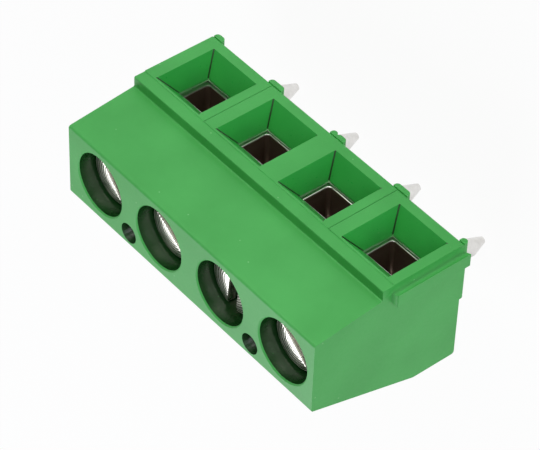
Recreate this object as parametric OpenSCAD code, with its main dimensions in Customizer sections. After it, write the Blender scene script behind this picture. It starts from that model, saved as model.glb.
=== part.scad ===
// Rising-clamp screw terminal block for a printed circuit board.
// Two-pole modules lock side by side with a dovetail rail and groove to make the row.
// X runs along the row, Y from the wire side (-) to the back (+), Z up to the screw side.
// The origin lies on the board's top face, in the middle of the row of solder pins.

/* [Row] */
// Distance from pole to pole
pitch = 5.08; // [4.9:0.01:5.6]
// How far the poles stand from the middles of their cells, towards the rail end
pole_shift = 0.13; // [0:0.01:0.2]
// Poles in one moulded module
poles_per_module = 2; // [2:1:3]
// Modules locked together in the row
modules = 2; // [1:1:3]

/* [Clamp cage] */
// Clear width inside the cage
cage_in_w = 2.84; // [2.6:0.01:3.0]
// Thickness of the cage's floor and sides
cage_t = 0.5; // [0.4:0.01:0.55]
// Thickness of the folded top that carries the thread
cage_top_t = 1.4; // [1:0.05:2]
// Length of the cage along the wire
cage_len = 3.4; // [3.1:0.05:4]
// Clear height for the wire when the cage is fully open
wire_h = 1.8; // [1.4:0.05:2.4]
// Free height left under the tongue when the cage is fully raised
wire_left = 0.1; // [0.08:0.01:0.3]
// Inner radius of the folds beside the cage floor
fold_r = 0.25; // [0.15:0.01:0.3]
// How far back each pole's cage lies from its screw, as a share of the wall beside the threaded hole
cage_lie = [0.07, 0.07, 0, 0.24];
// Running gap between the cage and the chamber walls
cage_gap = 0.08; // [0.05:0.01:0.12]

/* [Contact] */
// Thickness of the contact strip
strip_t = 0.8; // [0.6:0.05:1]
// Radius of the solder pin
pin_r = 0.5; // [0.4:0.01:0.6]
// Length of the solder pin below the board seat
pin_l = 3.5; // [2.5:0.1:5]
// Length of the tapered point at the end of the pin
pin_point_l = 0.9; // [0.5:0.1:1.5]
// How far the pins stand behind the screw axes
pin_back = 0.34; // [0:0.02:0.8]
// Gap between the contact and the pieces beside it
contact_gap = 0.05; // [0.03:0.01:0.1]

/* [Clamp screw] */
// Radius over the thread, M2.5
thread_r = 1.25; // [1:0.05:1.3]
// Radius of the slotted head
head_r = 1.76; // [1.6:0.01:1.9]
// Thickness of the head
head_t = 1.62; // [1.2:0.02:2.2]
// Depth of the head below the screw face
head_recess = 0.95; // [0.4:0.05:1.6]
// Width of the driver slot
slot_w = 0.74; // [0.5:0.02:0.9]
// Depth of the driver slot
slot_d = 0.75; // [0.4:0.05:0.9]
// Direction of each pole's slot, in degrees from the row
slot_angles = [141, 85, 146, 131];
// Radial clearance of the thread in the cage
thread_gap = 0.03; // [0.02:0.01:0.08]
// Radial clearance of the head in its shaft
head_gap = 0.12; // [0.05:0.01:0.15]

/* [Wire entry] */
// Depth of the tapered part of each wire funnel
funnel_d = 1.55; // [1:0.05:2]
// Depth of the straight throat behind the funnel
throat_d = 0.2; // [0.2:0.05:0.6]
// How far the throat's upper edge lies above the wire space
throat_over = 0.19; // [0:0.01:0.3]
// Width of the cage's rim that shows beside the throat
rim_shown = 0.1; // [0.03:0.01:0.12]
// Rise of the funnel floor towards the throat
flare_low = 0.62; // [0.3:0.02:0.9]
// Fall of the funnel's upper wall towards the throat
flare_high = 1.27; // [1:0.01:1.8]
// Width of the band between the windows and the ledge
band_w = 0.84; // [0.6:0.02:1.2]
// Depth by which the band lies below the window rims
band_step = 0.05; // [0.03:0.01:0.1]

/* [Housing] */
// Depth of the ledge along the front
ledge_d = 0.71; // [0.4:0.01:0.9]
// Width of the screw face in front of the screw shafts
face_front = 0.47; // [0.3:0.01:0.8]
// Width of the screw face behind the screw shafts
face_back = 0.54; // [0.4:0.01:1]
// Thickness of the back wall at the board
back_wall = 1.76; // [1:0.01:2.5]
// Height of the upright part of the back wall
kink_z = 2.82; // [1.5:0.02:3.4]
// Radius of the moulded edges
edge_r = 0.16; // [0.08:0.01:0.25]
// Radius of the blind holes between the poles of a module
blind_r = 0.62; // [0.4:0.01:0.65]
// Depth of the blind holes
blind_d = 2; // [1:0.1:2.4]
// Distance of the blind holes from the back edge of the screw face
blind_inset = 0.85; // [0.8:0.01:1]
// Height of the standoff ribs that seat on the board
rib_h = 0.3; // [0.2:0.02:0.6]
// Length of the standoff ribs from the front face
rib_l = 4; // [3:0.1:6]
// Radius of the ribs' lower edges
rib_r = 0.21; // [0.05:0.01:0.25]
// Width and depth of the fine parting line between two poles
line_w = 0.06; // [0.04:0.01:0.1]

/* [Interlock] */
// How far the rail stands out of the end face
rail_out = 0.5; // [0.4:0.01:0.6]
// Width of the rail at its outer face
rail_w = 0.82; // [0.7:0.01:1.1]
// Undercut on the front side of the rail
rail_undercut = 0.24; // [0.1:0.01:0.3]
// Distance of the rail from the front face
rail_in = 0.32; // [0.25:0.01:0.4]
// Length of the rail past the tops of the windows
rail_over = 0.24; // [0.1:0.02:0.4]
// Clearance of the rail in the groove
rail_gap = 0.04; // [0.02:0.01:0.06]
// Web left between the groove and the window
groove_web = 0.31; // [0.1:0.01:0.4]

/* [Hidden] */
poles = poles_per_module * modules;

housing_colour = [0.33, 0.68, 0.37];
plated_colour = [0.78, 0.78, 0.76];
tinned_colour = [0.70, 0.70, 0.69];

// Heights above the underside of the housing
cage_z0 = strip_t + contact_gap;
floor_z = cage_z0 + cage_t;
tongue_z = floor_z + wire_h;
tongue_top = tongue_z + strip_t;
cage_h = cage_t + wire_h + strip_t + contact_gap + cage_top_t;
travel = wire_h - wire_left;
chamber_top = cage_z0 + cage_h + travel + wire_left;
head_z = chamber_top + contact_gap;
body_h = head_z + head_t + head_recess;
throat_z0 = floor_z - contact_gap;
throat_z1 = tongue_z + throat_over;
window_z0 = throat_z0 - flare_low;
window_z1 = throat_z1 + flare_high;
ledge_z = window_z1 + band_w;
rail_h = window_z1 + rail_over;
rim_top = window_z1 + rail_over / 2;

// Distances behind the front face
front_wall = funnel_d + throat_d;
screw_y = front_wall + cage_gap + cage_len / 2;
hole_wall = cage_len / 2 - thread_r - thread_gap;
cage_back = screw_y + cage_len / 2 + max(cage_lie) * hole_wall;
leg_y = cage_back + cage_gap;
chamber_back = leg_y + strip_t + contact_gap;
body_d = chamber_back + back_wall;
shaft_r = head_r + head_gap;
face_y0 = screw_y - shaft_r - face_front;
face_y1 = screw_y + shaft_r + face_back;
pin_y = screw_y + pin_back;

// Widths along the row
module_w = poles_per_module * pitch;
cage_w = cage_in_w + 2 * cage_t;
chamber_w = cage_w + 2 * cage_gap;
partition_w = pitch - chamber_w;
rail_wall = partition_w / 2 - pole_shift;
groove_wall = partition_w / 2 + pole_shift;
tongue_w = cage_in_w - 0.24;
throat_w = cage_in_w + 2 * rim_shown;
window_w = pitch + 2 * (pole_shift - rail_out - rail_gap - groove_web);

edge_steps = 4;
far = 20;
eps = 0.01;

// A point's place in a pole's own frame: x from the pole centre, y from the front, z from the underside
module on_board() translate([0, -pin_y, rib_h]) children();
module at_pole(p) translate([(p - (poles + 1) / 2) * pitch, 0, 0]) on_board() children();

// A profile drawn in Y and Z, extruded along the row from x0 over a width w
module along_row(x0, w) translate([x0, 0, 0]) rotate([90, 0, 90]) linear_extrude(w) children();

function unit(v) = v / norm(v);

// The points of an arc of radius r that rounds corner b between a and c
function rounded_corner(a, b, c, r) =
    let (u = unit(a - b), v = unit(c - b), half = acos(u * v) / 2,
         centre = b + unit(u + v) * r / sin(half),
         start = b + u * r / tan(half) - centre,
         turn = sign(u[0] * v[1] - u[1] * v[0]) * -(180 - 2 * half))
    [for (i = [0:edge_steps]) let (t = -turn * i / edge_steps)
        centre + [start[0] * cos(t) + start[1] * sin(t), start[1] * cos(t) - start[0] * sin(t)]];

// A polygon whose every corner is rounded to its own radius
module rounded_polygon(points, radii) {
    n = len(points);
    polygon([for (i = [0:n - 1])
        each rounded_corner(points[(i + n - 1) % n], points[i], points[(i + 1) % n], radii[i])]);
}

module housing_profile() {
    rounded_polygon(
        [[0, 0], [body_d, 0], [body_d, kink_z], [face_y1, body_h],
         [face_y0, body_h], [ledge_d, ledge_z], [0, ledge_z]],
        [edge_r, edge_r, 2 * edge_r, edge_r, edge_r, edge_r / 2, edge_r]);
}

// The wire funnel: four tapered walls that end in a straight throat
module wire_funnel() {
    intersection() {
        along_row(-pitch / 2, pitch)
            polygon([[-eps, window_z0], [0, window_z0], [funnel_d, throat_z0],
                     [front_wall + eps, throat_z0], [front_wall + eps, throat_z1],
                     [funnel_d, throat_z1], [0, window_z1], [-eps, window_z1]]);
        linear_extrude(far)
            polygon([for (s = [-1, 1], i = [0:3])
                let (k = s < 0 ? i : 3 - i,
                     y = [-eps, 0, funnel_d, front_wall + eps][k],
                     w = [window_w, window_w, throat_w, throat_w][k])
                [s * w / 2, y]]);
    }
}

// The chamber that guides the cage and holds the contact's leg, with the screw shaft above it
module chamber() {
    translate([-chamber_w / 2, front_wall, -eps])
        cube([chamber_w, cage_back + cage_gap - front_wall, chamber_top + eps]);
    translate([-chamber_w / 2, front_wall, -eps])
        cube([chamber_w, chamber_back - front_wall, tongue_top + contact_gap + eps]);
    translate([0, screw_y, chamber_top - eps])
        cylinder(h = far, r = shaft_r, $fn = 64);
    translate([0, screw_y, body_h - edge_r / 2])
        cylinder(h = edge_r, r1 = shaft_r, r2 = shaft_r + edge_r, $fn = 64);
}

// Half-dovetail section in X and Y: the front side is undercut and the back side is square
module rail_section(grow) {
    polygon([[eps, rail_in + rail_undercut - grow], [-rail_out - grow, rail_in - grow],
             [-rail_out - grow, rail_in + rail_w + grow], [eps, rail_in + rail_w + grow]]);
}

// A standoff rib with rounded long edges, hanging from the underside
module standoff_rib(w) {
    r = min(rib_r, 0.9 * rib_h, 0.45 * w);
    translate([0, rib_l, 0]) rotate([90, 0, 0]) linear_extrude(rib_l)
        rounded_polygon([[-w / 2, eps], [-w / 2, -rib_h], [w / 2, -rib_h], [w / 2, eps]],
                        [eps / 2, r, r, eps / 2]);
}

// One module's moulded body, without the groove and the rail
module housing_body() {
    difference() {
        along_row(0, module_w) housing_profile();
        for (i = [0:poles_per_module - 1]) translate([(i + 0.5) * pitch - pole_shift, 0, 0]) {
            wire_funnel();
            chamber();
        }
        // The band along the ledge lies a little below the window rims
        translate([-eps, -eps, rim_top]) cube([module_w + 2 * eps, band_step + eps, far]);
        // Fine parting line and blind hole between the poles of the module
        for (i = [1:poles_per_module - 1]) translate([i * pitch, 0, 0]) {
            translate([-line_w / 2, -eps, -eps]) cube([line_w, line_w + eps, rim_top + 2 * eps]);
            translate([-pole_shift, face_y1 - blind_inset, body_h - blind_d])
                cylinder(h = blind_d + eps, r = blind_r, $fn = 48);
        }
    }
    for (i = [1:poles_per_module - 1]) translate([i * pitch - pole_shift, 0, 0])
        standoff_rib(partition_w);
    translate([rail_wall / 2, 0, 0]) standoff_rib(rail_wall);
    translate([module_w - groove_wall / 2, 0, 0]) standoff_rib(groove_wall);
}

module housing(m) {
    x0 = (m - 1 - modules / 2) * module_w + pole_shift;
    color(housing_colour) on_board() translate([x0, 0, 0]) {
        difference() {
            housing_body();
            // The groove is open towards the board, where the next module's rail slides in
            translate([module_w, 0, -rib_h - eps])
                linear_extrude(rib_h + eps + rail_h + rail_gap) rail_section(rail_gap);
        }
        linear_extrude(rail_h) rail_section(0);
    }
}

// A rectangle whose corners are rounded by exact arcs, with one radius below and one above
module round_rect(w, z0, z1, r_low, r_high) {
    difference() {
        translate([-w / 2, z0]) square([w, z1 - z0]);
        for (s = [-1, 1]) {
            translate([s * w / 2, z0]) corner_waste(-s, 1, r_low);
            translate([s * w / 2, z1]) corner_waste(-s, -1, r_high);
        }
    }
}

// The sliver outside a corner arc, with the corner at the origin and the arc towards (sx, sy)
module corner_waste(sx, sy, r) {
    difference() {
        translate([sx > 0 ? -eps : -r, sy > 0 ? -eps : -r]) square(r + eps);
        translate([sx * r, sy * r]) circle(r, $fn = 32);
    }
}

module clamp_cage(p) {
    lie = cage_lie[(p - 1) % len(cage_lie)] * hole_wall;
    color(plated_colour) at_pole(p) difference() {
        translate([0, screw_y + cage_len / 2 + lie, 0]) rotate([90, 0, 0]) linear_extrude(cage_len)
            difference() {
                round_rect(cage_w, cage_z0, cage_z0 + cage_h, fold_r + cage_t, cage_t);
                round_rect(cage_in_w, floor_z, tongue_top + contact_gap, fold_r, fold_r / 3);
            }
        translate([0, screw_y, tongue_top])
            cylinder(h = far, r = thread_r + thread_gap, $fn = 64);
    }
}

module clamp_screw(p) {
    tip_z = tongue_top + thread_gap;
    head_top = head_z + head_t;
    chamfer = 0.12;
    angle = slot_angles[(p - 1) % len(slot_angles)];
    color(plated_colour) at_pole(p) translate([0, screw_y, 0]) difference() {
        rotate_extrude($fn = 96)
            polygon([[0, tip_z], [thread_r - 2 * chamfer, tip_z], [thread_r, tip_z + 2 * chamfer],
                     [thread_r, head_z], [head_r - chamfer, head_z], [head_r, head_z + chamfer],
                     [head_r, head_top - 1.5 * chamfer], [head_r - chamfer, head_top - chamfer / 2],
                     [head_r - 2 * chamfer, head_top - chamfer / 2], [head_r - 3 * chamfer, head_top],
                     [0, head_top]]);
        rotate([0, 0, angle]) translate([-far / 2, -slot_w / 2, head_top - slot_d])
            cube([far, slot_w, far]);
    }
}

// The contact: a strip bent round behind the cage, with its tongue through the cage
module solder_contact(p) {
    base_w = chamber_w - 2 * contact_gap;
    leg_back = leg_y + strip_t;
    front = front_wall + contact_gap;
    color(tinned_colour) at_pole(p) {
        along_row(-base_w / 2, base_w) difference() {
            translate([front, 0]) square([leg_back - front, tongue_top]);
            translate([0, strip_t]) square([leg_y, far]);
            translate([leg_back, 0]) corner_waste(-1, 1, strip_t);
            translate([leg_back, tongue_top]) corner_waste(-1, -1, strip_t);
        }
        along_row(-tongue_w / 2, tongue_w)
            translate([front, tongue_z]) square([leg_y - front + eps, strip_t]);
        translate([0, pin_y, strip_t / 2]) mirror([0, 0, 1]) {
            shank = strip_t / 2 + rib_h + pin_l - pin_point_l;
            cylinder(h = shank, r = pin_r, $fn = 48);
            translate([0, 0, shank]) cylinder(h = pin_point_l, r1 = pin_r, r2 = pin_r * 0.4, $fn = 48);
        }
    }
}

for (m = [1:modules]) {
    housing(m);
}
for (p = [1:poles]) {
    clamp_cage(p);
    clamp_screw(p);
    solder_contact(p);
}
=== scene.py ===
# %% [markdown]
# # A four-pole screw terminal for a circuit board
# Two green moulded modules stand side by side, with four nickel-plated clamp cages, four slotted
# clamp screws and four tinned solder contacts inside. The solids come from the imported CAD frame,
# which fixes every size and place. This file gives them their finish: the worn moulded edges,
# the turned screw heads, the threads and the plated metal.

# %% Load the frame
from math import pi, radians

import bmesh
import bpy
from mathutils import Matrix, Vector


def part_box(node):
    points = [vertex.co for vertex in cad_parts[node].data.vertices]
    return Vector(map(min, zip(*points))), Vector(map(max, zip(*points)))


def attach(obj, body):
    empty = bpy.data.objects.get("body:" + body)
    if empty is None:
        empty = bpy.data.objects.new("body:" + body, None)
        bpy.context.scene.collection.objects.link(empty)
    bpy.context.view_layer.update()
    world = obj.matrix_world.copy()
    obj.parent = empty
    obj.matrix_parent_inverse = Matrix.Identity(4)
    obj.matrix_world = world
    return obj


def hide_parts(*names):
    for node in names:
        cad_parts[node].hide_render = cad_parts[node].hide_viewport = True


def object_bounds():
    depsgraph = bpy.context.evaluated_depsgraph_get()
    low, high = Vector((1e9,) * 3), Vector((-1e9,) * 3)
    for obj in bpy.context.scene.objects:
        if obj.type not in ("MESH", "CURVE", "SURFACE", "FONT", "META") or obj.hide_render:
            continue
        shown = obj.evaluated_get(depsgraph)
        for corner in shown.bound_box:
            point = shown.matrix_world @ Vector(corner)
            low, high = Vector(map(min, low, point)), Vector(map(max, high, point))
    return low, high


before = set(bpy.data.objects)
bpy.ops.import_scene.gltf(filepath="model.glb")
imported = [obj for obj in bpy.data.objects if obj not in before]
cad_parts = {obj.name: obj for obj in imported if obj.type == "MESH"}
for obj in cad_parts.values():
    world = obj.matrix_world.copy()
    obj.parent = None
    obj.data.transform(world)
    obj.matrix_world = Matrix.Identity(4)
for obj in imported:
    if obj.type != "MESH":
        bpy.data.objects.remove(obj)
cad_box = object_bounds()
MM = 0.001
POLES = (1, 2, 3, 4)
MODULES = (1, 2)
print("CAD box in mm:", [[round(value / MM, 3) for value in corner] for corner in cad_box])

# %% [markdown]
# ## Sizes read from the frame
# Places could be typed in, but then a change to the solids would leave them behind. They are read
# from the CAD nodes instead. The screws give the poles' centres and the radius of a head, and a
# housing gives the faces on the wire side, the back, the board side and the screw side.

# %% Places of the poles and faces
housing_low, housing_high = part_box("housing_1")
row_low, row_high = cad_box
pole_x = {p: sum(corner.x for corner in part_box(f"clamp_screw_{p}")) / 2 for p in POLES}
screw_low, screw_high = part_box("clamp_screw_1")
screw_y = (screw_low.y + screw_high.y) / 2
head_radius = (screw_high.y - screw_low.y) / 2
pitch = pole_x[2] - pole_x[1]
front_y, back_y = housing_low.y, housing_high.y
board_z, top_z = housing_low.z, housing_high.z
print("pitch", round(pitch / MM, 3), "head radius", round(head_radius / MM, 3))

# %% [markdown]
# ## Helpers for materials
# Hex colours are written in sRGB, as they look on a screen, and Blender's sockets want linear
# values, so one function turns them. Another small function adds a node with its settings and
# links, which keeps the materials short enough to read. The numbers in the first function are
# those of the sRGB standard.

# %% Colour and node helpers
def linear(hex_colour):
    """The linear RGBA of an sRGB hex colour such as '#4CB35A'."""
    values = [int(hex_colour[i:i + 2], 16) / 255 for i in (1, 3, 5)]
    return tuple(v / 12.92 if v <= 0.04045 else ((v + 0.055) / 1.055) ** 2.4 for v in values) + (1,)


def add(tree, kind, sockets, **settings):
    """Adds a node. Each socket gets a value, or a link where another node's output is given."""
    node = tree.nodes.new(kind)
    for name, value in settings.items():
        setattr(node, name, value)
    for socket, value in sockets.items():
        if isinstance(value, bpy.types.NodeSocket):
            tree.links.new(value, node.inputs[socket])
        else:
            node.inputs[socket].default_value = value
    return node


def per(size_mm):
    """The texture scale at which one feature measures that many millimetres."""
    return 1 / (size_mm * MM)


def new_material(name, **shader_values):
    """A material with one Principled shader, whose constants are set on its own sockets."""
    material = bpy.data.materials.new(name)
    material.use_nodes = True
    tree = material.node_tree
    shader = tree.nodes["Principled BSDF"]
    for socket, value in shader_values.items():
        shader.inputs[socket.replace("_", " ")].default_value = value
    return material, tree, shader


print("mid grey in linear light:", round(linear("#808080")[0], 3))

# %% [markdown]
# ## Moulded polyamide
# The housings are injection-moulded polyamide in connector green. The tool's walls leave a fine
# satin grain, and the pigment lies a little unevenly. One flat colour would look like paint, and an
# image would stretch over the slopes. Noise in the colour, the roughness and the bump keeps its
# size on every face, so it is used here. The grain is drawn coarser than a real one, so that it
# shows. A few pale specks, about 0.1 mm wide, are scuffs from other blocks in the bag.

# %% Recipe for the moulded plastic
PIGMENT_PATCH = 3.5
SCUFF_SPACING = 1.1
GRAIN_SIZE = 0.14


def moulded_polyamide(name, pale, deep, scuff, roughness):
    """Satin moulded plastic with uneven pigment, a fine grain and a few scuffs."""
    material, tree, shader = new_material(name, IOR=1.5)
    place = add(tree, "ShaderNodeTexCoord", {}).outputs["Object"]
    pigment = add(tree, "ShaderNodeTexNoise", {"Vector": place, "Scale": per(PIGMENT_PATCH),
                                               "Detail": 5})
    spread = add(tree, "ShaderNodeMapRange",
                 {"Value": pigment.outputs[0], "From Min": 0.32, "From Max": 0.68})
    body = add(tree, "ShaderNodeMix", {0: spread.outputs[0], 6: linear(deep), 7: linear(pale)},
               data_type="RGBA")
    specks = add(tree, "ShaderNodeTexVoronoi", {"Vector": place, "Scale": per(SCUFF_SPACING)})
    near = add(tree, "ShaderNodeMapRange",
               {"Value": specks.outputs["Distance"], "From Min": 0.02, "From Max": 0.05,
                "To Min": 0.6, "To Max": 0})
    colour = add(tree, "ShaderNodeMix", {0: near.outputs[0], 6: body.outputs[2], 7: linear(scuff)},
                 data_type="RGBA")
    tree.links.new(colour.outputs[2], shader.inputs["Base Color"])
    grain = add(tree, "ShaderNodeTexNoise", {"Vector": place, "Scale": per(GRAIN_SIZE), "Detail": 3})
    gloss = add(tree, "ShaderNodeMapRange", {"Value": grain.outputs[0], "To Min": roughness - 0.08,
                                             "To Max": roughness + 0.1})
    tree.links.new(gloss.outputs[0], shader.inputs["Roughness"])
    bump = add(tree, "ShaderNodeBump", {"Height": grain.outputs[0], "Strength": 0.35,
                                        "Distance": 0.006 * MM})
    tree.links.new(bump.outputs[0], shader.inputs["Normal"])
    return material


print("grain drawn at", GRAIN_SIZE, "mm, scuffs every", SCUFF_SPACING, "mm")

# %% [markdown]
# Five finishes come from the one recipe. The outer walls are satin. Edges where two mould faces
# meet are a touch glossier, and their paler colour is a painted highlight. The windows, shafts and
# chambers are shaped by polished steel cores, which leaves their walls deeper in colour. The much
# darker green of the screw shafts is painted shade, and so is the dark green in the corners of the
# windows. Each colour is given as a pale tone, a deep tone and a scuff.

# %% Five finishes of the same plastic
wall_green = moulded_polyamide("moulded_polyamide_66", "#42AB4E", "#389F44", "#8FCF94", 0.46)
# The pale colour of the edge finish is a painted highlight.
painted_highlight_edge_green = moulded_polyamide("moulded_polyamide_66_edge_painted_highlight", "#7ACF80", "#68C271", "#A8E2AE", 0.36)
core_green = moulded_polyamide("moulded_polyamide_66_core", "#3CB04E", "#34A646", "#64B870", 0.30)
# The dark green of the shaft finish is painted shade.
painted_shade_shaft_green = moulded_polyamide("moulded_polyamide_66_shaft_painted_shade", "#154A1A", "#103C14", "#2E7A36", 0.22)
# The dark green of the corner finish is painted shade.
painted_shade_corner_green = moulded_polyamide("moulded_polyamide_66_corner_painted_shade", "#23421F", "#1B3418", "#2F5A2E", 0.5)
finishes = [wall_green, painted_highlight_edge_green, core_green, painted_shade_shaft_green, painted_shade_corner_green]
OUTER, EDGE_PAINTED_HIGHLIGHT, CORE, SHAFT_PAINTED_SHADE, CORNER_PAINTED_SHADE = range(len(finishes))
print("finishes of the plastic:", [finish.name for finish in finishes])

# %% [markdown]
# ## Plated metal
# The cages are folded from brass strip and plated with nickel. The plating is bright on the cut
# rims, and behind them, inside the cage, the metal is darkened brown as painted shade. A UV map
# stores how far each point lies behind its own cage's front rim, in millimetres, and a ramp along it
# darkens the metal. Two materials could do it, but they would meet in a hard line, so the edge of
# the painted shade is made ragged. Rolling marks run along the strip and are drawn 0.1 mm wide,
# coarser than real ones.

# %% Material of the clamp cages
SHADE_EDGE_BLOTCH = 0.6
ROLLING_MARK = 0.1


def nickel_plate(name, bright, painted_shade_colour):
    """Nickel plate, bright at the front rim, with painted shade that darkens it behind the rim."""
    material, tree, shader = new_material(name, Roughness=0.28)
    place = add(tree, "ShaderNodeTexCoord", {}).outputs["Object"]
    rim = add(tree, "ShaderNodeUVMap", {}, uv_map="behind_rim").outputs[0]
    behind = add(tree, "ShaderNodeSeparateXYZ", {0: rim}).outputs["X"]
    blotch = add(tree, "ShaderNodeTexNoise", {"Vector": place, "Scale": per(SHADE_EDGE_BLOTCH),
                                              "Detail": 3})
    ragged = add(tree, "ShaderNodeMapRange",
                 {"Value": blotch.outputs[0], "To Min": 0.05, "To Max": 0.17})
    # The ramp darkens the metal behind the rim as painted shade.
    depth = add(tree, "ShaderNodeMapRange", {"Value": behind, "From Min": 0.03,
                                             "From Max": ragged.outputs[0]})
    colour = add(tree, "ShaderNodeMix", {0: depth.outputs[0], 6: linear(bright), 7: linear(painted_shade_colour)},
                 data_type="RGBA")
    tree.links.new(colour.outputs[2], shader.inputs["Base Color"])
    metal = add(tree, "ShaderNodeMapRange", {"Value": depth.outputs[0], "To Min": 1, "To Max": 0.55})
    tree.links.new(metal.outputs[0], shader.inputs["Metallic"])
    stretch = add(tree, "ShaderNodeMapping", {"Vector": place, "Scale": (1, 0.08, 1)})
    rolling = add(tree, "ShaderNodeTexNoise", {"Vector": stretch.outputs[0], "Scale": per(ROLLING_MARK),
                                               "Detail": 2})
    bump = add(tree, "ShaderNodeBump", {"Height": rolling.outputs[0], "Strength": 0.3,
                                        "Distance": 0.004 * MM})
    tree.links.new(bump.outputs[0], shader.inputs["Normal"])
    return material


# The brown behind the rim is painted shade inside the cage.
cage_metal = nickel_plate("nickel_plated_brass", "#F4F1EA", "#6A564A")
print("made", cage_metal.name)

# %% [markdown]
# ## Dipped tin
# The contacts and their pins are brass, dipped in tin. Tin sets with a soft, slightly cloudy shine.
# A single roughness would make it look like chrome, so the roughness wanders over patches of about
# 0.4 mm, and the colour and the bump follow the same patches.

# %% Material of the solder contacts
CLOUD_SIZE = 0.4


def tin_dip(name, bright, dull):
    """Dipped tin: cloudy, silvery and a little uneven."""
    material, tree, shader = new_material(name, Metallic=1)
    place = add(tree, "ShaderNodeTexCoord", {}).outputs["Object"]
    cloud = add(tree, "ShaderNodeTexNoise", {"Vector": place, "Scale": per(CLOUD_SIZE), "Detail": 4})
    colour = add(tree, "ShaderNodeMix", {0: cloud.outputs[0], 6: linear(dull), 7: linear(bright)},
                 data_type="RGBA")
    tree.links.new(colour.outputs[2], shader.inputs["Base Color"])
    shine = add(tree, "ShaderNodeMapRange", {"Value": cloud.outputs[0], "To Min": 0.22, "To Max": 0.42})
    tree.links.new(shine.outputs[0], shader.inputs["Roughness"])
    bump = add(tree, "ShaderNodeBump", {"Height": cloud.outputs[0], "Strength": 0.25,
                                        "Distance": 0.01 * MM})
    tree.links.new(bump.outputs[0], shader.inputs["Normal"])
    return material


contact_metal = tin_dip("tin_dipped_brass", "#F4F3F1", "#C9C7C3")
print("made", contact_metal.name)

# %% [markdown]
# ## Turned steel
# The screws are turned steel with a bright zinc plate. The lathe leaves rings on the head, which
# catch the light as thin circles, and they are drawn about 0.16 mm apart. Modelled grooves would
# need very many faces, so a wave texture draws them in the roughness and the bump. It follows a UV
# map of each point's distance from the screw's own axis, so that one material serves all four
# screws and turns with them.

# %% Material of the clamp screws
RING_SPACING = 0.16
ZINC_PATCH = 0.5


def turned_steel(name, bright, shade):
    """Zinc-plated steel with the rings that a lathe leaves."""
    material, tree, shader = new_material(name, Metallic=1, Roughness=0.24)
    turned = add(tree, "ShaderNodeUVMap", {}, uv_map="turned").outputs[0]
    place = add(tree, "ShaderNodeTexCoord", {}).outputs["Object"]
    # A wave texture at scale 1 repeats every pi / 10, which is close to 1 / pi.
    rings = add(tree, "ShaderNodeTexWave", {"Vector": turned, "Scale": 1 / (RING_SPACING * pi),
                                            "Distortion": 0.6, "Detail": 2})
    patches = add(tree, "ShaderNodeTexNoise", {"Vector": place, "Scale": per(ZINC_PATCH), "Detail": 3})
    colour = add(tree, "ShaderNodeMix", {0: patches.outputs[0], 6: linear(shade), 7: linear(bright)},
                 data_type="RGBA")
    tree.links.new(colour.outputs[2], shader.inputs["Base Color"])
    shine = add(tree, "ShaderNodeMapRange", {"Value": rings.outputs[1], "To Min": 0.17, "To Max": 0.36})
    tree.links.new(shine.outputs[0], shader.inputs["Roughness"])
    bump = add(tree, "ShaderNodeBump", {"Height": rings.outputs[1], "Strength": 0.5,
                                        "Distance": 0.012 * MM})
    tree.links.new(bump.outputs[0], shader.inputs["Normal"])
    return material


screw_metal = turned_steel("zinc_plated_turned_steel", "#F1EFE6", "#B9B6AA")
print("made", screw_metal.name)

# %% [markdown]
# ## Housings with worn edges
# A CAD mesh has knife-sharp edges, and real mouldings don't. Rounding them in CAD would make heavy
# solids, so each node is copied and a Bevel modifier rounds the copy. A weight on each edge says
# which are rounded. Edges that stand out get 0.045 mm in the pale edge finish, a painted highlight.
# The four corners that run back into each window get 0.06 mm in the dark corner finish, a painted
# shade. Each set of edges has its own weight layer and its own modifier, because a modifier has one
# width and one material.

# %% Merged copies
MERGE_DISTANCE = 0.0005 * MM
FLAT_ANGLE = radians(0.5)
SHARP_ANGLE = radians(30)


def clean_copy(node):
    """A BMesh of a CAD node with its doubles merged and its flat faces joined up."""
    shell = bmesh.new()
    shell.from_mesh(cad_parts[node].data)
    bmesh.ops.remove_doubles(shell, verts=shell.verts, dist=MERGE_DISTANCE)
    bmesh.ops.dissolve_limit(shell, angle_limit=FLAT_ANGLE, verts=shell.verts, edges=shell.edges)
    return shell


def weigh_edges(shell, layer, wanted):
    """Gives the edges that a bevel should round a weight of 1, and counts them."""
    weight = shell.edges.layers.float.new(layer)
    chosen = [edge for edge in shell.edges if edge.is_manifold and wanted(edge)]
    for edge in chosen:
        edge[weight] = 1
    return len(chosen)


def is_outer(edge):
    """True for a sharp edge that stands out, as a corner of a block does."""
    return edge.calc_face_angle_signed(0) > SHARP_ANGLE


def add_bevel(piece, layer, width, slot):
    """Rounds the edges weighed in a layer, with faces in one material slot."""
    bevel = piece.modifiers.new(layer, "BEVEL")
    bevel.limit_method = "WEIGHT"
    bevel.edge_weight = layer
    bevel.width = width
    bevel.segments = 2
    bevel.material = slot


def finished_piece(name, shell, materials):
    """Turns a BMesh into a smooth object with its materials."""
    mesh = bpy.data.meshes.new(name)
    shell.to_mesh(mesh)
    shell.free()
    for material in materials:
        mesh.materials.append(material)
    mesh.shade_smooth()
    piece = bpy.data.objects.new(name, mesh)
    bpy.context.scene.collection.objects.link(piece)
    return piece


def keep_flat(piece):
    """Keeps large faces flat beside their bevels."""
    piece.modifiers.new("flat_faces", "WEIGHTED_NORMAL").keep_sharp = True


print("housing node has", len(clean_copy("housing_1").faces), "faces after merging")

# %% [markdown]
# ## Which walls the cores shaped
# The inner walls need other finishes than the outside. They could be picked by hand, but a face
# number changes with every new solid. They are told apart by where they are instead: round a
# screw's axis they are a shaft, round a point midway between two poles they are a blind hole, and
# behind the front face within a pole's width they are a window or a chamber.

# %% Sizes that tell the walls apart
# Sizes that the solids have
HEAD_GAP = 0.12 * MM
BLIND_RADIUS = 0.62 * MM
BLIND_INSET = 0.85 * MM
FACE_BACK = 0.54 * MM
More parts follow.
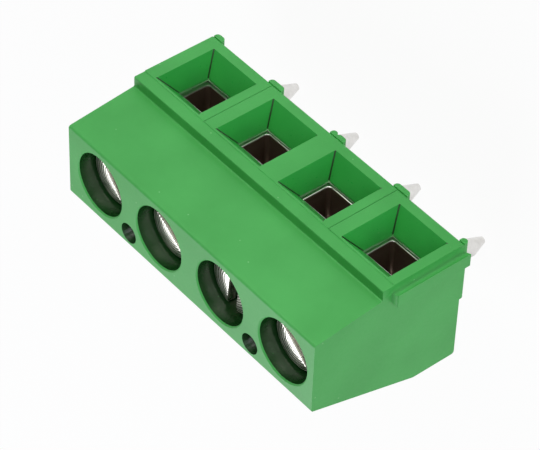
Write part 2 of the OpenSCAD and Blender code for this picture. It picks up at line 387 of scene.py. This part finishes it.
# Limits that tell walls apart. The shafts' is a share of the screw's height.
SHAFT_START = 0.33
BLIND_REACH = 2.1 * MM
CHAMBER_HALF = 2.0 * MM
CHAMBER_BACK = 1.5 * MM
FOOT_HEIGHT = 0.35 * MM
CHAMFER_DEPTH = 0.12 * MM
ROUND_PLAY = 0.03 * MM
HAIR = 0.01 * MM
shaft_radius = head_radius + HEAD_GAP
shaft_floor = screw_low.z + (screw_high.z - screw_low.z) * SHAFT_START
blind_y = screw_y + shaft_radius + FACE_BACK - BLIND_INSET
print("shaft walls start at", round(shaft_floor / MM, 2), "mm")

# %% Finish of a housing face
def near_shaft(middle, nearest):
    """True on or inside the cylinder of the shaft that stands at a pole."""
    return Vector((middle.x - nearest, middle.y - screw_y)).length < shaft_radius + ROUND_PLAY


def near_blind_hole(middle, nearest):
    """True on or inside a cylinder midway between two poles."""
    between = Vector((abs(middle.x - nearest) - pitch / 2, middle.y - blind_y))
    return between.length < BLIND_RADIUS + ROUND_PLAY


def finish_of(face):
    """The material slot of a housing face."""
    middle = face.calc_center_median()
    nearest = min(pole_x.values(), key=lambda x: abs(x - middle.x))
    upright = abs(face.normal.z) < 0.5
    # The walls of the shafts and blind holes take the painted shade.
    if near_shaft(middle, nearest) and upright and shaft_floor < middle.z < top_z - CHAMFER_DEPTH:
        return SHAFT_PAINTED_SHADE
    if near_blind_hole(middle, nearest) and top_z - BLIND_REACH < middle.z < top_z - HAIR:
        return SHAFT_PAINTED_SHADE
    inside = front_y + 2 * HAIR < middle.y < back_y - CHAMBER_BACK
    if inside and abs(middle.x - nearest) < CHAMBER_HALF + HAIR and middle.z < shaft_floor:
        return CORE if middle.z > board_z + FOOT_HEIGHT else OUTER
    return OUTER


print("radius of a shaft:", round(shaft_radius / MM, 2), "mm")

# %% [markdown]
# ## The two modules
# The row is two mouldings of two poles each, and each is finished by itself, so that the seam
# between them lies between rounded edges. The fine line between the two poles of a module is a
# shallow groove. Bevels on both its sides would meet inside it, so its edges are left sharp.

# %% Build the two housings
RAIL_OUT = 0.5 * MM
PARTING_HALF = 0.05 * MM
PARTING_DEPTH = 0.1 * MM
FUNNEL_SHORT, FUNNEL_LONG = 1.3 * MM, 2 * MM


def in_parting_line(edge):
    """True for the edges of the fine line between the two poles of a module."""
    middle = (edge.verts[0].co + edge.verts[1].co) / 2
    beside = min(abs(middle.x - x) for x in parting_x) < PARTING_HALF
    return beside and middle.y < front_y + PARTING_DEPTH


def in_window_corner(edge):
    """True for the four corners that run back into a window."""
    low, high = sorted((vert.co for vert in edge.verts), key=lambda place: place.y)
    deep = low.y < front_y + HAIR and front_y + FUNNEL_SHORT < high.y < front_y + FUNNEL_LONG
    return deep and edge.calc_face_angle_signed(0) < -SHARP_ANGLE


parting_x = [sum(corner.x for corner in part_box(f"housing_{m}")) / 2 + RAIL_OUT / 2 for m in MODULES]
for m in MODULES:
    shell = clean_copy(f"housing_{m}")
    for face in shell.faces:
        face.material_index = finish_of(face)
    left_sharp = sum(is_outer(edge) and in_parting_line(edge) for edge in shell.edges)
    outer = weigh_edges(shell, "worn_edge", lambda edge: is_outer(edge) and not in_parting_line(edge))
    inner = weigh_edges(shell, "window_corner", in_window_corner)
    housing = finished_piece(f"moulded_housing_{m}", shell, finishes)
    # The dark finish in the window corners is painted shade.
    add_bevel(housing, "window_corner", 0.06 * MM, CORNER_PAINTED_SHADE)
    # The pale finish on the rounded edges is a painted highlight.
    add_bevel(housing, "worn_edge", 0.045 * MM, EDGE_PAINTED_HIGHLIGHT)
    keep_flat(housing)
    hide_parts(f"housing_{m}")
    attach(housing, "block")
    print(housing.name, "outer edges:", outer, "window corners:", inner, "left sharp:", left_sharp)

# %% [markdown]
# ## Cages and contacts
# The cages clamp the wires, and the contacts carry the current down to the board. Both are folded
# from strip, and the solids have their forms already, so they are copied and bevelled as the
# housings are. The bevels draw the thin bright line round each wire opening, because a rounded
# metal rim nearly always mirrors something light.

# %% Bevelled cages and contacts
CAGE_BEVEL = 0.05 * MM
CONTACT_BEVEL = 0.04 * MM


def store_depth(mesh, front):
    """Writes each corner's distance behind the front rim, in millimetres, into a UV map."""
    layer = mesh.uv_layers.new(name="behind_rim")
    for loop in mesh.loops:
        place = mesh.vertices[loop.vertex_index].co
        layer.data[loop.index].uv = ((place.y - front) / MM, place.z / MM)


def plated_piece(name, node, material, width):
    """A bevelled copy of a metal node."""
    shell = clean_copy(node)
    weigh_edges(shell, "worn_edge", is_outer)
    piece = finished_piece(name, shell, [material])
    store_depth(piece.data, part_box(node)[0].y)
    add_bevel(piece, "worn_edge", width, 0)
    keep_flat(piece)
    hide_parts(node)
    return piece


for p in POLES:
    cage = plated_piece(f"plated_cage_{p}", f"clamp_cage_{p}", cage_metal, CAGE_BEVEL)
    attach(cage, f"cage_{p}")
    contact = plated_piece(f"tinned_contact_{p}", f"solder_contact_{p}", contact_metal, CONTACT_BEVEL)
    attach(contact, "block")
print("cages and contacts:", 2 * len(POLES))

# %% [markdown]
# ## Turned screws
# A screw is a turned part, so its outline is spun round its axis, as on the lathe. Cylinders put
# together would need unions, and a spin gives one clean skin. The outline runs up the core of the
# shank, out under the head, up its side and in over the two steps of the face. The driver slot is
# then sawn across it by a boolean, as a slitting saw does. Each screw stopped at its own angle.

# %% Sizes of the screw
THREAD_RADIUS = 1.25 * MM
THREAD_LEAD = 0.45 * MM
CORE_RADIUS = 0.98 * MM
HEAD_THICKNESS = 1.62 * MM
SLOT_WIDTH = 0.74 * MM
SLOT_DEPTH = 0.75 * MM
SLOT_ANGLES = {1: 141, 2: 85, 3: 146, 4: 131}
CHAMFER = 0.12 * MM
SPIN_STEPS = 96
BROKEN_EDGE = 0.03 * MM
tip_z, head_top = screw_low.z, screw_high.z
head_z = head_top - HEAD_THICKNESS
print("shank length in mm:", round((head_z - tip_z) / MM, 2))

# %% Spin the screw and saw its slot
def face_steps():
    """The turned outline of the screw as (radius, height) points, from tip to face."""
    return [
        (0, tip_z), (CORE_RADIUS - CHAMFER, tip_z), (CORE_RADIUS, tip_z + CHAMFER),
        (CORE_RADIUS, head_z), (head_radius - CHAMFER, head_z), (head_radius, head_z + CHAMFER),
        (head_radius, head_top - 1.5 * CHAMFER), (head_radius - CHAMFER, head_top - CHAMFER / 2),
        (head_radius - 2 * CHAMFER, head_top - CHAMFER / 2), (head_radius - 3 * CHAMFER, head_top),
        (0, head_top),
    ]


def spun(name, outline):
    """Spins an outline round Z into a closed mesh."""
    turned = bmesh.new()
    points = [turned.verts.new((r, 0, z)) for r, z in outline]
    edges = [turned.edges.new(pair) for pair in zip(points, points[1:])]
    bmesh.ops.spin(turned, geom=points + edges, cent=(0, 0, 0), axis=(0, 0, 1), angle=2 * pi,
                   steps=SPIN_STEPS)
    bmesh.ops.remove_doubles(turned, verts=turned.verts, dist=MERGE_DISTANCE)
    bmesh.ops.recalc_face_normals(turned, faces=turned.faces)
    mesh = bpy.data.meshes.new(name)
    turned.to_mesh(mesh)
    turned.free()
    return mesh


def box_mesh(name, low, high):
    """A closed box between two corners."""
    block = bmesh.new()
    bmesh.ops.create_cube(block, size=1)
    middle = [(a + b) / 2 for a, b in zip(low, high)]
    size = [b - a for a, b in zip(low, high)]
    block.transform(Matrix.Translation(middle) @ Matrix.Diagonal((*size, 1)))
    mesh = bpy.data.meshes.new(name)
    block.to_mesh(mesh)
    block.free()
    return mesh


def evaluated_mesh(piece):
    """The plain mesh that a piece's modifiers make."""
    bpy.context.view_layer.update()
    graph = bpy.context.evaluated_depsgraph_get()
    return bpy.data.meshes.new_from_object(piece.evaluated_get(graph))


blank = bpy.data.objects.new("screw_blank", spun("screw_blank", face_steps()))
saw = bpy.data.objects.new("slot_saw", box_mesh(
    "slot_saw", (-2 * head_radius, -SLOT_WIDTH / 2, head_top - SLOT_DEPTH),
    (2 * head_radius, SLOT_WIDTH / 2, head_top + SLOT_DEPTH)))
for tool in (blank, saw):
    bpy.context.scene.collection.objects.link(tool)
cut = blank.modifiers.new("driver_slot", "BOOLEAN")
cut.object = saw
cut.solver = "EXACT"
rim = blank.modifiers.new("broken_edges", "BEVEL")
rim.width = BROKEN_EDGE
rim.segments = 2
rim.angle_limit = radians(50)
slotted_blank = evaluated_mesh(blank)
for tool in (blank, saw):
    bpy.data.objects.remove(tool)
print("faces of one slotted screw:", len(slotted_blank.polygons))

# %% [markdown]
# ## The thread, by Geometry Nodes
# A thread follows a rule: one ridge climbs the core by one lead each turn. A Screw modifier could
# make it too, but a node tree keeps the lead, radius and length as named inputs, so that other
# screws could use it as well. A Spiral curve makes the path, and a four-cornered section is swept
# along it. The section's outer corner is the crest, and its inner corner is buried in the core.

# %% Node tree for the thread
def thread_tree():
    """A tree that adds a screw thread to a turned blank and gives the whole screw its material."""
    tree = bpy.data.node_groups.new("screw_thread", "GeometryNodeTree")
    face = tree.interface
    face.new_socket(name="Blank", in_out="INPUT", socket_type="NodeSocketGeometry")
    for name in ("Lead", "Radius", "Depth", "Start height", "Length"):
        face.new_socket(name=name, in_out="INPUT", socket_type="NodeSocketFloat")
    face.new_socket(name="Metal", in_out="INPUT", socket_type="NodeSocketMaterial")
    face.new_socket(name="Screw", in_out="OUTPUT", socket_type="NodeSocketGeometry")
    given = tree.nodes.new("NodeGroupInput").outputs
    turns = add(tree, "ShaderNodeMath", {0: given["Length"], 1: given["Lead"]}, operation="DIVIDE")
    centre = add(tree, "ShaderNodeMath", {0: given["Radius"], 1: given["Depth"]}, operation="SUBTRACT")
    path = add(tree, "GeometryNodeCurveSpiral",
               {"Resolution": 32, "Rotations": turns.outputs[0], "Start Radius": centre.outputs[0],
                "End Radius": centre.outputs[0], "Height": given["Length"], "Reverse": True})
    upright = add(tree, "GeometryNodeSetCurveNormal", {"Curve": path.outputs[0]}, mode="Z_UP")
    section = add(tree, "GeometryNodeCurvePrimitiveCircle", {"Resolution": 4, "Radius": given["Depth"]})
    ridge = add(tree, "GeometryNodeCurveToMesh", {"Curve": upright.outputs[0],
                                                  "Profile Curve": section.outputs[0],
                                                  "Fill Caps": True})
    lift = add(tree, "ShaderNodeCombineXYZ", {"Z": given["Start height"]})
    raised = add(tree, "GeometryNodeTransform", {"Geometry": ridge.outputs[0],
                                                 "Translation": lift.outputs[0]})
    both = add(tree, "GeometryNodeJoinGeometry", {})
    tree.links.new(given["Blank"], both.inputs[0])
    tree.links.new(raised.outputs[0], both.inputs[0])
    real = add(tree, "GeometryNodeRealizeInstances", {"Geometry": both.outputs[0]})
    plated = add(tree, "GeometryNodeSetMaterial", {"Geometry": real.outputs[0],
                                                   "Material": given["Metal"]})
    done = tree.nodes.new("NodeGroupOutput")
    tree.links.new(plated.outputs[0], done.inputs[0])
    return tree


def socket_id(tree, name):
    """The identifier by which a modifier knows an input."""
    return next(item.identifier for item in tree.interface.items_tree
                if item.name == name and item.in_out == "INPUT")


threads = thread_tree()
print("inputs of the thread:", [item.name for item in threads.interface.items_tree])

# %% [markdown]
# ## The four screws
# Each screw is built at the origin, turned to its own slot angle and moved to its pole, with the
# place baked into the mesh. A moved object would look the same, but then its origin would not be
# the shared one. The UV map is written after that from each corner's distance to the screw's axis.

# %% Four finished screws
def store_radius(mesh, axis_x, axis_y):
    """Writes each corner's distance from the axis, in millimetres, into the map named turned."""
    layer = mesh.uv_layers.get("turned") or mesh.uv_layers.new(name="turned")
    for loop in mesh.loops:
        point = mesh.vertices[loop.vertex_index].co
        radius = Vector((point.x - axis_x, point.y - axis_y)).length
        layer.data[loop.index].uv = (radius / MM, point.z / MM)


RIDGE_SHARE = 0.8
SMOOTH_ANGLE = radians(28)
ridge_depth = (THREAD_RADIUS - CORE_RADIUS) * RIDGE_SHARE
for p in POLES:
    base = bpy.data.objects.new(f"screw_base_{p}", slotted_blank.copy())
    bpy.context.scene.collection.objects.link(base)
    grow = base.modifiers.new("thread", "NODES")
    grow.node_group = threads
    grow[socket_id(threads, "Lead")] = THREAD_LEAD
    grow[socket_id(threads, "Radius")] = THREAD_RADIUS
    grow[socket_id(threads, "Depth")] = ridge_depth
    grow[socket_id(threads, "Start height")] = tip_z + ridge_depth
    grow[socket_id(threads, "Length")] = head_z - tip_z - 2 * ridge_depth
    grow[socket_id(threads, "Metal")] = screw_metal
    mesh = evaluated_mesh(base)
    bpy.data.objects.remove(base)
    turn = Matrix.Rotation(radians(SLOT_ANGLES[p]), 4, "Z")
    mesh.transform(Matrix.Translation((pole_x[p], screw_y, 0)) @ turn)
    store_radius(mesh, pole_x[p], screw_y)
    mesh.shade_smooth()
    mesh.set_sharp_from_angle(angle=SMOOTH_ANGLE)
    screw = bpy.data.objects.new(f"slotted_screw_{p}", mesh)
    bpy.context.scene.collection.objects.link(screw)
    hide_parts(f"clamp_screw_{p}")
    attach(screw, f"screw_{p}")
    print(screw.name, "faces", len(mesh.polygons))

# %% [markdown]
# ## Floor and background
# The block stands on its pins on a plain pale floor. A strong lamp on the floor would turn it white
# and would also light the block from below. Instead the floor shows white only to the camera, to
# mirrors and through glass, by Light Path, so that no extra light falls on the block. A small share
# of it stays a real surface, which keeps the shadow.

# %% Floor
FLOOR_HALF_WIDTH = 0.6
WHITE_SHARE = 0.94


def white_where_seen(tree):
    """A factor that is 1 for the rays that show a surface and 0 for those that light others."""
    path = add(tree, "ShaderNodeLightPath", {}).outputs
    seen = add(tree, "ShaderNodeMath", {0: path["Is Camera Ray"], 1: path["Is Glossy Ray"]},
               operation="MAXIMUM")
    through = {0: seen.outputs[0], 1: path["Is Transmission Ray"]}
    return add(tree, "ShaderNodeMath", through, operation="MAXIMUM").outputs[0]


def studio_floor(height, half_width):
    """A pale floor that reads as white background and still holds a shadow."""
    slab = bmesh.new()
    corners = [(-half_width, -half_width), (half_width, -half_width),
               (half_width, half_width), (-half_width, half_width)]
    slab.faces.new([slab.verts.new((x, y, height)) for x, y in corners])
    mesh = bpy.data.meshes.new("studio_floor")
    slab.to_mesh(mesh)
    slab.free()
    material, tree, shader = new_material("pale_studio_card", Roughness=0.8)
    shader.inputs["Base Color"].default_value = linear("#F4F4F4")
    share = add(tree, "ShaderNodeMath", {0: white_where_seen(tree), 1: WHITE_SHARE},
                operation="MULTIPLY")
    white = add(tree, "ShaderNodeEmission", {"Color": (1, 1, 1, 1), "Strength": 1.0})
    mix = add(tree, "ShaderNodeMixShader",
              {0: share.outputs[0], 1: shader.outputs[0], 2: white.outputs[0]})
    tree.links.new(mix.outputs[0], tree.nodes["Material Output"].inputs[0])
    mesh.materials.append(material)
    floor = bpy.data.objects.new("studio_floor", mesh)
    bpy.context.scene.collection.objects.link(floor)
    return floor


studio_floor(row_low.z, FLOOR_HALF_WIDTH)
print("floor at", round(row_low.z / MM, 2), "mm")

# %% [markdown]
# ## Light
# A small product is lit by broad soft lamps, since a bare one leaves hard shadows. One broad lamp
# stands before the wire side, one throws light back on to the screw face, and two stand off the
# rail end. A little soft white comes from all round. They are weak enough that a colour renders
# about as it is written.

# %% World
SOFT_WHITE = 0.12
world = bpy.data.worlds.new("light_tent")
bpy.context.scene.world = world
world.use_nodes = True
tent = world.node_tree
sky = tent.nodes["Background"]
level = add(tent, "ShaderNodeMapRange", {"Value": white_where_seen(tent), "To Min": SOFT_WHITE,
                                         "To Max": 1.0})
tent.links.new(level.outputs[0], sky.inputs["Strength"])
sky.inputs["Color"].default_value = (1, 1, 1, 1)
print("strength of the white from all round:", SOFT_WHITE)

# %% Lamps
def soft_lamp(name, direction, distance, size, power, colour):
    """A square area lamp that looks at the block from a direction."""
    lamp = bpy.data.lights.new(name, "AREA")
    lamp.shape = "SQUARE"
    lamp.size = size
    lamp.energy = power
    lamp.color = linear(colour)[:3]
    holder = bpy.data.objects.new(name, lamp)
    centre = (row_low + row_high) / 2
    holder.location = centre + Vector(direction).normalized() * distance
    holder.rotation_euler = (centre - holder.location).to_track_quat("-Z", "Y").to_euler()
    bpy.context.scene.collection.objects.link(holder)
    return holder


soft_lamp("wire_side_lamp", (0.1, -1, 0.15), distance=0.16, size=0.14, power=0.190, colour="#FFFDF8")
soft_lamp("screw_side_bounce", (0.1, 0.8, 0.9), distance=0.18, size=0.14, power=0.225, colour="#F4F7FF")
soft_lamp("rail_end_lamp", (-1, -0.5, 0.2), distance=0.18, size=0.12, power=0.135, colour="#F6F8FF")
soft_lamp("rail_end_bounce", (-1, 0.4, 0.0), distance=0.18, size=0.12, power=0.055, colour="#F4F7FF")

# %% [markdown]
# ## Camera
# A long lens, about 190 mm, stands well back and keeps the row's edges nearly parallel. The view
# looks down on the wire side, and it is rolled so that the wire side points up. Angles could set
# it, but their order matters and is easy to get wrong. A place and two directions are written out
# instead, and the camera's matrix is built from them.

# %% Camera
CAMERA_PLACE = Vector((-81.32, -104.86, 75.01)) * MM
VIEW_DIRECTION = Vector((0.5416, 0.6980, -0.4685)).normalized()
UP_DIRECTION = Vector((0.5532, -0.7156, -0.4266))
LENS = 190.62
SENSOR_WIDTH = 36
NEAR, FAR = 0.005, 5

right = VIEW_DIRECTION.cross(UP_DIRECTION).normalized()
up = right.cross(VIEW_DIRECTION)
camera_data = bpy.data.cameras.new("camera")
camera_data.lens = LENS
camera_data.sensor_width = SENSOR_WIDTH
camera_data.clip_start = NEAR
camera_data.clip_end = FAR
camera = bpy.data.objects.new("camera", camera_data)
turned = Matrix((right, up, -VIEW_DIRECTION)).transposed().to_4x4()
camera.matrix_world = Matrix.Translation(CAMERA_PLACE) @ turned
bpy.context.scene.collection.objects.link(camera)
bpy.context.scene.camera = camera
bpy.context.scene.view_settings.view_transform = "Standard"
print("camera distance in mm:", round((CAMERA_PLACE - (row_low + row_high) / 2).length / MM, 1))
